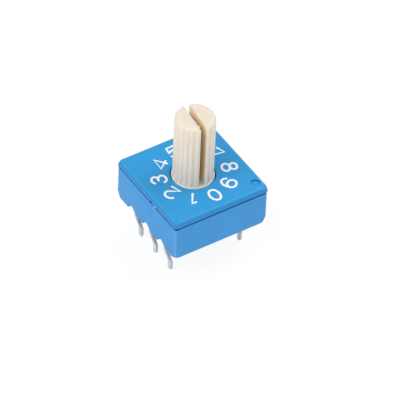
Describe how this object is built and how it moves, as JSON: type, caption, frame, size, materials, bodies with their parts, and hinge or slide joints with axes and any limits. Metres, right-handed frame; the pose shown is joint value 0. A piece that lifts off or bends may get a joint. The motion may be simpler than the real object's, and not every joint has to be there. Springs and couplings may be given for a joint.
{
  "type": "rotary coded switch",
  "caption": "Square board-mounted rotary coded switch with a tall fluted and slotted shaft, a digit dial and two rows of joggled leads.",
  "frame": {"origin": "on the shaft axis, in the board plane that the seat pad under the base rests on", "axes": "+Z along the shaft, away from the board; the lead rows run along Y, one at -X and one at +X; the shaft slot runs within 6 degrees of Y and points at the digit 0 at -Y"},
  "size_m": [0.0102, 0.0102, 0.0154],
  "materials": {
    "cover_plastic": "satin moulded",
    "base_plastic": "satin moulded",
    "rotor_plastic": "satin moulded",
    "tinned_metal": "tinned",
    "gilt_metal": "gold plated",
    "spring_steel": "cold rolled",
    "seal_rubber": "smooth moulded"
  },
  "bodies": {
    "housing": {"cover": "cover_plastic", "base": "base_plastic", "click_spring": "spring_steel", "terminal_1": "tinned_metal", "terminal_2": "tinned_metal", "terminal_4": "tinned_metal", "terminal_8": "tinned_metal", "terminal_common_a": "tinned_metal", "terminal_common_b": "tinned_metal", "contact_1": "gilt_metal", "contact_2": "gilt_metal", "contact_4": "gilt_metal", "contact_8": "gilt_metal", "contact_common_a": "gilt_metal", "contact_common_b": "gilt_metal"},
    "rotor": {"rotor": "rotor_plastic", "code_disc": "gilt_metal", "o_ring": "seal_rubber"}
  },
  "joints": [
    {"name": "rotor_spin", "type": "hinge", "parent": "housing", "child": "rotor", "pos_m": [0, 0, 0], "axis": [0, 0, 1], "continuous": true, "deforming": ["click_spring"]}
  ]
}
